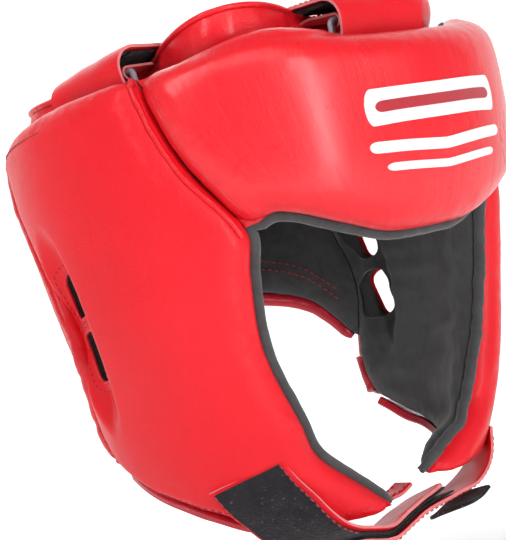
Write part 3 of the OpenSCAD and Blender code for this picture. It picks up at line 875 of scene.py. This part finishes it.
def ball(name, segments, rings, place):
    """A closed form from a ball: place(angle, depth), depth from 0 at its top to 1 at its foot."""
    rest()
    bpy.ops.mesh.primitive_uv_sphere_add(segments=segments, ring_count=rings, radius=1)
    obj = named(name)
    for vert in obj.data.vertices:
        c = vert.co
        depth = math.acos(min(max(c.z, -1), 1)) / math.pi
        vert.co = place(math.atan2(c.y, c.x), depth) * MM
    face_out(obj)
    bpy.ops.object.shade_smooth_by_angle(angle=math.radians(60))
    return obj


def build_crown(sizes):
    fine = 2

    def cap(a, d):
        return crown_face(a, d * 2) if d <= 0.5 else crown_face(a, (1 - d) * 2, LEATHER_T)

    def filling(a, d):
        if d <= 0.5:
            return crown_face(a, d * 1.9, LEATHER_T + GAP)
        return crown_under(a, (1 - d) * 1.92, LINING_T + GAP)

    def lining(a, d):
        return crown_under(a, d * 2, LINING_T) if d <= 0.5 else crown_under(a, (1 - d) * 2)

    obj = ball("crown_leather_piece", 180 * fine, 70 * fine, cap)
    finish_piece(obj, "crown", "root", "crown_leather", fill=0.8)
    obj = ball("crown_foam_piece", 72, 24, filling)
    finish_piece(obj, "foam", "root", "crown_foam", fill=0.9)
    obj = ball("crown_lining_piece", 120, 48, lining)
    finish_piece(obj, "suede", "root", "crown_lining", fill=0.6)
    seam = [crown_face(2 * math.pi * i / 240, PIPED) + Vector((0, 0, 0.3)) for i in range(240)]
    roll("crown_piping", seam, 1000 * sizes.piping * 1.1, "crown", closed=True)
    hem = [crown_face(2 * math.pi * i / 200, 0.985) for i in range(200)]
    roll("crown_hem_piping", hem, 1000 * sizes.piping, "binding", closed=True)


# ---------------------------------------------------------------- straps
class Band:
    """A strap's middle line through its stations, smoothed, with its width and its facing."""

    def __init__(self, stations):
        spots = [Vector(s[0]) for s in stations]
        lengths = [0.0]
        for p, q in zip(spots, spots[1:]):
            lengths.append(lengths[-1] + (q - p).length)
        self.length = lengths[-1]
        self.knots = [x / self.length for x in lengths]

        def curve(values):
            return smooth(tuple(zip(self.knots, values)))
        self.place = [curve([p[i] for p in spots]) for i in range(3)]
        wide = [Vector(s[1]).normalized() for s in stations]
        self.wide = [curve([w[i] for w in wide]) for i in range(3)]
        self.width = curve([s[2] for s in stations])

    def middle(self, t):
        return Vector([f(t) for f in self.place])

    def at(self, t, s, lift, narrow=0.0):
        """t along, s across from -1 to 1, lift out of the face, all in millimetres."""
        h = 0.004
        d = (self.middle(min(t + h, 1)) - self.middle(max(t - h, 0))).normalized()
        w = Vector([f(t) for f in self.wide]).normalized()
        up = w.cross(d).normalized()
        return self.middle(t) + w * (s * (self.width(t) - narrow) / 2) + up * lift

    def up(self, t):
        return (self.at(t, 0, 1) - self.at(t, 0, 0)).normalized()


def strap(title, band, first, last, thick, lift, edge, material, body, *nodes,
          narrow=0.0, rounding=(0, 0), warp=0.35):
    """A flat strap along a band with cut edges; rounding is how long its two ends are rounded."""
    long = band.length * (last - first)
    columns = max(12, int(long / 1.3))

    def place(u, v, under):
        t, s = mix(first, last, u), 2 * v - 1
        for reach, left in zip(rounding, (u * long, (1 - u) * long)):
            if reach and left < reach:
                s *= math.sqrt(max(0.02, 1 - (1 - left / reach) ** 2))
        near = max(0, abs(2 * v - 1) - 0.8) / 0.2
        p = band.at(t, s, 0, narrow)
        bend = warp * noise.noise(p * 0.06) * 1.5
        half = thick / 2 * (1 - 0.35 * near ** 3)
        return band.at(t, s, lift + bend + (-half if under else half), narrow)

    obj = slab(title, columns, 14, place)
    half = len(obj.data.vertices) // 2
    obj.data.materials.clear()
    for m in (material, edge):
        obj.data.materials.append(FINISH[m])
    for face in obj.data.polygons:
        low = sum(i < half for i in face.vertices)
        face.material_index = 0 if low in (0, len(face.vertices)) else 1
    if body:
        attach(obj, body)
    if nodes:
        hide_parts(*nodes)
    return obj


def sew_band(title, band, rows, body, lift, material="thread", **look):
    """Stitch rows on a strap, each (first, last, s), on the side that lift points to."""
    lines = [[band.at(mix(first, last, i / 79), s, lift) for i in range(80)]
             for first, last, s in rows]
    sign = 1 if lift > 0 else -1
    near = [(band.middle(i / 60), band.up(i / 60) * sign) for i in range(61)]

    def facing(p):
        return min(near, key=lambda e: (e[0] - p).length_squared)[1]
    return sew(title, lines, body, facing, material, **look)


def seat_place(seat, x, y, w=0.0):
    """A place beside a crown strap's bar: x outwards, y up, w along the bar, in millimetres."""
    turn, dist, height, slope = seat
    p = Matrix.Rotation(math.radians(slope), 3, "Y") @ Vector((-w, -x, y))
    return Matrix.Rotation(math.radians(turn), 3, "Z") @ (p + Vector((0, -dist, height)))


def seat_band(seat, profile, width):
    stations = []
    for x, y in profile:
        p, q = seat_place(seat, x, y), seat_place(seat, x, y, 1)
        stations.append((p, q - p, width))
    return Band(stations)


def arc(radius, first, last, count):
    return [(radius * math.cos(math.radians(mix(first, last, i / (count - 1)))),
             radius * math.sin(math.radians(mix(first, last, i / (count - 1)))))
            for i in range(count)]


def build_crown_straps():
    """The four straps that tie the crown pad to the headband through plastic rings."""
    for name, seat in SEATS.items():
        half = FLAP_W / 2 - 4
        corner = 2.2
        loop = []
        for cx, cy, start in ((half - corner, -corner, 0), (-half + corner, -corner, 90),
                              (-half + corner, -RING_H + corner, 180),
                              (half - corner, -RING_H + corner, 270)):
            for i in range(6):
                t = math.radians(start + 18 * i)
                loop.append(seat_place(seat, 0, cy + corner * math.sin(t),
                                       cx + corner * math.cos(t)))
        ring = tube(f"{name}_ring_piece", loop, BAR_R, True, 6)
        finish_piece(ring, "ring", "root", f"{name}_ring")
        # the anchor: a strap round the lower bar, sewn down the inside of the headband
        r = BAR_R + 0.9
        profile = ([(r, -RING_H - 16)] + [(r, -RING_H - 16 + 3 * i) for i in range(1, 6)]
                   + [(x, y - RING_H) for x, y in arc(r, 0, 250, 14)])
        around = seat_band(seat, profile, FLAP_W - 22)
        strap(f"{name}_anchor_piece", around, 0, 1, 1.3, 0, "raw", "strap", "root",
              f"{name}_ring_anchor", warp=0.1)
        # the fixed tab from the crown pad to the ring
        reach = TAB_REACH[name]
        r = BAR_R + 1.3
        profile = ([(-reach, r + 0.6 - 2.0), (-reach * 0.7, r + 0.2), (-reach * 0.4, r)]
                   + arc(r, 100, -120, 14))
        tab = seat_band(seat, profile, FLAP_W - 14)
        strap(f"{name}_tab_piece", tab, 0, 1, 1.8, 0, "raw", "strap", "root", f"{name}_crown_tab")
        sew_band(f"{name}_tab_stitching", tab, ((0.05, 0.5, 0.8), (0.05, 0.5, -0.8)), "root", 1.1)
        # the folded strap: one piece from the arch to the leaf on top of the crown pad
        r = ARCH_R + STRAP_T / 2
        profile = ([(r - 1.2, -10), (r - 0.3, -5)] + arc(r, 0, 90, 16)
                   + [(-FLAP_LEN * i / 8, r - 0.25 * i) for i in range(1, 9)])
        fold = seat_band(seat, profile, FLAP_W)
        turn = 1 - FLAP_LEN / fold.length
        piece = strap(f"{name}_strap_piece", fold, 0, 1, STRAP_T, 0, "raw", "strap", None,
                      f"{name}_strap_fold", f"{name}_strap_leaf", rounding=(0, 3), warp=0.6)
        start, end = seat_place(seat, 1.5, r) * MM, seat_place(seat, -1.5, r) * MM
        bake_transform(piece)
        sign = 1 if (fold.at(0.1, 0, 1) - fold.at(0.1, 0, 0)).dot(
            seat_place(seat, 1, 0) - seat_place(seat, 0, 0)) > 0 else -1
        out = sign * (STRAP_T / 2 + 0.1)
        rows = ((turn + 0.06, 0.96, 0.88), (turn + 0.06, 0.96, -0.88))
        sew_band(f"{name}_leaf_stitching", fold, rows, f"{name}_flap", out)
        cross = [[fold.at(0.955, mix(-0.86, 0.86, i / 40), out) for i in range(41)]]
        face = fold.up(0.95) * sign
        sew(f"{name}_leaf_cross_stitching", cross, f"{name}_flap", lambda p, f=face: f)
        inner = -sign * (STRAP_T / 2 + TAPE_T / 2 + 0.1)
        strap(f"{name}_leaf_tape_piece", fold, turn + 0.03, 0.97, TAPE_T, inner, "tape", "tape",
              f"{name}_flap", f"{name}_leaf_tape", narrow=5, warp=0.6)
        strap(f"{name}_arch_tape", fold, 0.04, turn - 0.01, TAPE_T, inner, "tape", "tape", "root",
              narrow=5, warp=0.6)


def build_chin_straps():
    """The two chin straps that overlap under the chin, with their hook and loop tapes."""
    near, far, tail, tack = Band(NEAR), Band(FAR), Band(TAIL), Band(TACK)
    face = -(STRAP_T / 2 + TAPE_T / 2 + 0.35)
    for title, first, last, thick, lift, looks, nodes, options in (
            ("near_chin_strap_piece", 0, 1, STRAP_T, 0, ("raw", "strap"),
             ("near_chin_strap_base", "near_chin_strap_end"), {"rounding": (0, 5)}),
            ("near_chin_tape_piece", 0.012, 0.985, TAPE_T + 0.2, face, ("tape", "tape"),
             ("near_chin_base_tape", "near_chin_end_tape"), {"narrow": 4})):
        piece = strap(title, near, first, last, thick, lift, *looks, None, *nodes, **options)
        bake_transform(piece)
    fixed = near.knots[5] * 0.9  # how far the sewn base runs
    sew_band("near_base_stitching", near, ((0.01, fixed, 0.9), (0.01, fixed, -0.9)), "root",
             face - 0.7)
    strap("far_chin_strap_piece", far, 0, 1, STRAP_T, 0, "raw", "strap", "far_chin",
          "far_chin_strap", rounding=(0, 9))
    strap("far_chin_tape_piece", far, far.knots[3], 0.985, TAPE_T, face, "tape", "tape",
          "far_chin", "far_chin_tape", narrow=4, rounding=(0, 6))
    sew_band("far_strap_stitching", far, ((0.03, 0.96, 0.86), (0.03, 0.96, -0.86)), "far_chin",
             1.2)
    strap("far_chin_tail_piece", tail, 0, 1, STRAP_T, 0, "tape", "tape", "far_chin",
          "far_chin_tail", rounding=(0, 9))
    strap("chin_tack_tab_piece", tack, 0, 1, STRAP_T, 0, "raw", "roll", "root", "chin_tack_tab",
          warp=0.2)
    sew_band("tack_stitching", tack, ((0.1, 0.9, 0.7), (0.1, 0.9, -0.7)), "root", 1.2)


def rear_band(first, last, off, width):
    stations = []
    for i in range(13):
        a = mix(first, last, i / 12)
        up = skin(a, -42, off) - skin(a, -82, off)
        stations.append((skin(a, -62, off), up, width))
    return Band(stations)


def build_rear_strap():
    """The strap that closes the headband behind the head, over its tape and the loop patch."""
    for title, first, off, body, node in (
            ("rear_loop_patch_piece", 176, 1.8, "root", "rear_loop_patch"),
            ("rear_strap_tape_piece", 174, 4.9, "rear_closure", "rear_strap_tape")):
        strap(title, rear_band(first, 158, off, 42), 0, 1, TAPE_T, 0, "tape", "tape", body, node)
    cloth = rear_band(204, 156, 7.4, 46)
    strap("rear_strap_piece", cloth, 0, 1, STRAP_T, 0, "raw", "strap", "rear_closure",
          "rear_strap", rounding=(0, 6))
    sign = 1 if cloth.up(0.5).y > 0 else -1
    rows = ((0.03, 0.95, 0.88), (0.03, 0.95, -0.88), (0.03, 0.2, 0.5), (0.03, 0.2, -0.5))
    sew_band("rear_strap_stitching", cloth, rows, "rear_closure", sign * 1.25)


def build_gussets(pads):
    """The leather turned under each jaw edge, below the side panel's stitched hem; its darker
    binding leather is partly its own colour and partly painted shade under the jaw.
    """
    for name, sign in (("left", 1), ("right", -1)):
        stations = []
        for i in range(12):
            a, z = pads[name].place(mix(0.52, 0.96, i / 11), 0)
            p, q = skin(a, z - 3.0, -17), skin(a, z - 3.4, -3)
            p.x, q.x = sign * p.x, sign * q.x
            stations.append((p.lerp(q, 0.5), q - p, 14))
        band = Band(stations)
        # the darker binding finish here is partly painted shade on this downward face
        obj = strap(f"{name}_gusset_piece", band, 0, 1, 4.4, 0, "binding", "binding", "root",
                    f"{name}_chin_gusset", warp=0.5)


def build_badge(pads):
    """A plain embroidered badge: a rounded border round one bar and a low chevron."""
    pad = pads["forehead"]

    def put(a, z, lift):
        side = seam_at(z)
        u = 0.5 + a / side / 2
        low, high = brow_at(abs(a)) + GAP, 12 - 2 * (a / side) ** 2
        return pad.at(u, (z - low) / (high - low), 0, lift)

    def patch(name, low, high, left, right, thick, bend, material, rows=10, columns=90, *nodes):
        def place(u, v, under):
            a = mix(left, right, u)
            end = min(1, min(u, 1 - u) * (right - left) / 2.0)
            mid, half = (low + high) / 2, (high - low) / 2 * math.sqrt(1 - (1 - end) ** 2 * 0.97)
            z = mid + (2 * v - 1) * half + bend(a)
            return put(a, z, 0.15 if under else thick)
        obj = slab(name, columns, rows, place)
        return finish_piece(obj, material, "root", *nodes)

    def flat(a):
        return 0

    def dip(a):
        return -0.175 * (BADGE_HALF - abs(a))

    patch("badge_field", -33, -17, -19, 19, 0.7, flat, "badge", 12, 110, "forehead_badge")
    patch("badge_stripe", -27.5, -22.5, -16.5, 16.5, 1.0, flat, "thread", 6, 100)
    patch("badge_upper_chevron", -44, -39, -19, 19, 0.8, dip, "badge", 8, 110)
    patch("badge_lower_chevron", -52, -48.5, -15, 15, 0.8, dip, "badge", 8, 100)


# ---------------------------------------------------------------- camera, light and stage
def area(name, place, size, energy):
    """A rectangular light that faces the headgear."""
    light = bpy.data.lights.new(name, "AREA")
    light.shape, light.size, light.size_y, light.energy = "RECTANGLE", size[0], size[1], energy
    obj = bpy.data.objects.new(name, light)
    bpy.context.collection.objects.link(obj)
    obj.location = place
    obj.rotation_euler = (MIDDLE - place).to_track_quat("-Z", "Y").to_euler()


MIDDLE = Vector((0, 0, -0.09))
# lights round the headgear: turn and height in degrees, distance, size and power
LIGHTS = (("Key", -50, 52, 1.5, (1.1, 0.8), 6.6), ("Front strip", -19, 6, 1.35, (0.12, 1.5), 15),
          ("Side strip", -94, 34, 1.35, (0.10, 0.9), 6), ("Fill", 20, 20, 1.6, (0.8, 0.8), 2.5),
          ("Rim", 150, 35, 1.4, (0.9, 0.7), 3))
# the floor: height, where it starts in front, flat run, radius of the bend, height of the wall
FLOOR_Z, FLOOR_FRONT, FLOOR_RUN, FLOOR_BEND, WALL = -0.31, 1.4, 3.2, 1.2, 4.0
CAMERA_AIM, CAMERA_FAR, CAMERA_RISE, CAMERA_LEAN = (-0.0071, 0.0064, -0.0906), 1.1, 2, 10


def build_camera(right):
    """The camera, with right across its picture before it leans; returns the way towards it."""
    rise, lean = math.radians(CAMERA_RISE), math.radians(CAMERA_LEAN)
    back = Vector((0, 0, 1)).cross(right) * -1
    toward = (back * math.cos(rise) + Vector((0, 0, 1)) * math.sin(rise)).normalized()
    up = toward.cross(right).normalized()
    side = right * math.cos(lean) - up * math.sin(lean)
    top = up * math.cos(lean) + right * math.sin(lean)
    camera = bpy.data.cameras.new("Camera")
    camera.lens, camera.sensor_width = 147, 36
    obj = bpy.data.objects.new("Camera", camera)
    bpy.context.collection.objects.link(obj)
    matrix = Matrix((side, top, toward)).transposed().to_4x4()
    matrix.translation = Vector(CAMERA_AIM) + toward * CAMERA_FAR
    obj.matrix_world = matrix
    bpy.context.scene.camera = obj
    return toward


def build_floor(right, toward):
    """A pale floor that bends up into a wall and glows more away from the headgear: a painted glow
    that stands in for studio light on it.
    """
    rest()
    bpy.ops.mesh.primitive_grid_add(x_subdivisions=2, y_subdivisions=48, size=1)
    floor = named("Floor")
    flat = Vector((toward.x, toward.y, 0)).normalized()
    bend = FLOOR_BEND * math.pi / 2
    for vert in floor.data.vertices:
        across, d = vert.co.x * 10, (vert.co.y + 0.5) * (FLOOR_RUN + bend + WALL)
        turn = min(max((d - FLOOR_RUN) / FLOOR_BEND, 0), math.pi / 2)
        out = FLOOR_FRONT - min(d, FLOOR_RUN) - FLOOR_BEND * math.sin(turn)
        climb = FLOOR_BEND * (1 - math.cos(turn)) + max(0, d - FLOOR_RUN - bend)
        vert.co = flat * out + right * across + Vector((0, 0, climb + FLOOR_Z))
    floor.data.shade_smooth()
    mat, tree, shader, place = blank("Pale floor")
    soft = add(tree, "TexNoise", Scale=3.0, Detail=2)
    link(tree, place.outputs["Object"], soft.inputs["Vector"])
    link(tree, two_tone(tree, soft.outputs["Fac"], (0.88, 0.88, 0.885), (0.92, 0.92, 0.92)),
         shader.inputs["Base Color"])
    shader.inputs["Roughness"].default_value = 0.95
    # painted glow: the floor's emission stands in for studio light on it, faint near the headgear
    # and strong further off
    shader.inputs["Emission Color"].default_value = (1, 1, 1, 1)
    far_off = add(tree, "VectorMath", operation="LENGTH")
    link(tree, place.outputs["Object"], far_off.inputs[0])
    link(tree, ramp(tree, far_off.outputs["Value"], 0.45, 0.75, 0.12, 0.72),
         shader.inputs["Emission Strength"])
    floor.data.materials.append(mat)


def build_stage():
    """The camera, the floor, a faint sky and the lights."""
    right = Vector((0.743, -0.669, 0)).normalized()
    toward = build_camera(right)
    build_floor(right, toward)
    world = bpy.data.worlds.new("Soft white")
    world.use_nodes = True
    sky = world.node_tree.nodes["Background"]
    sky.inputs["Color"].default_value = (1, 1, 1, 1)
    sky.inputs["Strength"].default_value = 0.10
    bpy.context.scene.world = world
    for name, turn, height, far, size, energy in LIGHTS:
        a, e = math.radians(turn), math.radians(height)
        way = Vector((math.sin(a) * math.cos(e), -math.cos(a) * math.cos(e), math.sin(e)))
        area(name, MIDDLE + way * far, size, energy)
    bpy.context.scene.view_settings.view_transform = "Standard"


# ---------------------------------------------------------------- the panel's settings
class HeadgearSizes(bpy.types.PropertyGroup):
    """Sizes of the trim."""
    piping: bpy.props.FloatProperty(
        name="Piping", description="Radius of the piping in the seams", default=0.0014,
        min=0.0005, max=0.004, unit="LENGTH", subtype="DISTANCE")
    edge_roll: bpy.props.FloatProperty(
        name="Rolled edge", description="Radius of the roll down the rear edge of each side panel",
        default=0.0046, min=0.001, max=0.006, unit="LENGTH", subtype="DISTANCE")
    lip: bpy.props.FloatProperty(
        name="Suede lip", description="Radius of the lip round the face opening", default=0.0028,
        min=0.001, max=0.005, unit="LENGTH", subtype="DISTANCE")


def colour_property(name, description, default):
    return bpy.props.FloatVectorProperty(name=name, description=description, default=default,
                                         size=3, min=0, max=1, subtype="COLOR")


class HeadgearColours(bpy.types.PropertyGroup):
    """Base colours of the finishes."""
    leather: colour_property("Leather", "Red shell and strap leather", (0.81, 0.009, 0.019))
    binding: colour_property("Binding", "Darker bound edges and red thread", (0.58, 0.012, 0.030))
    lining: colour_property("Lining", "Grey suede lining", (0.074, 0.074, 0.077))
    raw_edge: colour_property("Raw edge", "Cut edges of the straps", (0.86, 0.24, 0.25))
    tape: colour_property("Tape", "Hook and loop tape", (0.022, 0.020, 0.024))
    ring: colour_property("Ring", "Plastic rings", (0.36, 0.31, 0.38))
    badge: colour_property("Badge", "Embroidered badge", (0.86, 0.85, 0.86))


PADS = {}


class HEADGEAR_OT_finishes(bpy.types.Operator):
    """Make the leather, suede, tape, thread, plastic and foam finishes"""
    bl_idname = "headgear.finishes"
    bl_label = "Finishes"

    def execute(self, context):
        make_finishes(context.scene.headgear_colours)
        return {"FINISHED"}


class HEADGEAR_OT_shell(bpy.types.Operator):
    """Build the padded forehead, side and rear panels"""
    bl_idname = "headgear.shell"
    bl_label = "Padded panels"

    def execute(self, context):
        PADS["forehead"] = make_panel("forehead", "forehead")
        PADS["left"] = make_panel("left_side", "side")
        PADS["right"] = make_panel("right_side", "side", True)
        PADS["rear"] = make_panel("rear", "rear")
        return {"FINISHED"}


class HEADGEAR_OT_seams(bpy.types.Operator):
    """Build the piping, rolled edges, suede lip, ear slot trim and stitch rows"""
    bl_idname = "headgear.seams"
    bl_label = "Seams and edges"

    def execute(self, context):
        build_seams(PADS, context.scene.headgear_sizes)
        build_ear_trim(PADS)
        build_gussets(PADS)
        return {"FINISHED"}


class HEADGEAR_OT_badge(bpy.types.Operator):
    """Build the plain embroidered badge on the forehead"""
    bl_idname = "headgear.badge"
    bl_label = "Badge"

    def execute(self, context):
        build_badge(PADS)
        return {"FINISHED"}


class HEADGEAR_OT_crown(bpy.types.Operator):
    """Build the crown pad"""
    bl_idname = "headgear.crown"
    bl_label = "Crown pad"

    def execute(self, context):
        build_crown(context.scene.headgear_sizes)
        return {"FINISHED"}


class HEADGEAR_OT_crown_straps(bpy.types.Operator):
    """Build the four crown straps with their rings and anchors"""
    bl_idname = "headgear.crown_straps"
    bl_label = "Crown straps"

    def execute(self, context):
        build_crown_straps()
        return {"FINISHED"}


class HEADGEAR_OT_chin_straps(bpy.types.Operator):
    """Build the two overlapping chin straps"""
    bl_idname = "headgear.chin_straps"
    bl_label = "Chin straps"

    def execute(self, context):
        build_chin_straps()
        return {"FINISHED"}


class HEADGEAR_OT_rear_strap(bpy.types.Operator):
    """Build the rear closing strap"""
    bl_idname = "headgear.rear_strap"
    bl_label = "Rear strap"

    def execute(self, context):
        build_rear_strap()
        return {"FINISHED"}


class HEADGEAR_OT_stage(bpy.types.Operator):
    """Set the camera, the soft lights and the pale floor"""
    bl_idname = "headgear.stage"
    bl_label = "Camera and stage"

    def execute(self, context):
        build_stage()
        return {"FINISHED"}


STEPS = (HEADGEAR_OT_finishes, HEADGEAR_OT_shell, HEADGEAR_OT_seams, HEADGEAR_OT_badge,
         HEADGEAR_OT_crown, HEADGEAR_OT_crown_straps, HEADGEAR_OT_chin_straps,
         HEADGEAR_OT_rear_strap, HEADGEAR_OT_stage)


class HEADGEAR_PT_panel(bpy.types.Panel):
    """The headgear's settings and its pieces, in the order they are built"""
    bl_idname = "HEADGEAR_PT_panel"
    bl_label = "Boxing headgear"
    bl_space_type = "VIEW_3D"
    bl_region_type = "UI"
    bl_category = "Headgear"

    def draw(self, context):
        for group in (context.scene.headgear_sizes, context.scene.headgear_colours):
            box = self.layout.box()
            for key in group.__annotations__:
                box.prop(group, key)
        for step in STEPS:
            self.layout.operator(step.bl_idname)


CLASSES = (HeadgearSizes, HeadgearColours) + STEPS + (HEADGEAR_PT_panel,)


def register():
    for c in CLASSES:
        bpy.utils.register_class(c)
    bpy.types.Scene.headgear_sizes = bpy.props.PointerProperty(type=HeadgearSizes)
    bpy.types.Scene.headgear_colours = bpy.props.PointerProperty(type=HeadgearColours)


def unregister():
    del bpy.types.Scene.headgear_colours
    del bpy.types.Scene.headgear_sizes
    for c in reversed(CLASSES):
        bpy.utils.unregister_class(c)


def main():
    register()
    for step in STEPS:
        group, name = step.bl_idname.split(".")
        getattr(getattr(bpy.ops, group), name)()


if __name__ == "__main__":
    main()
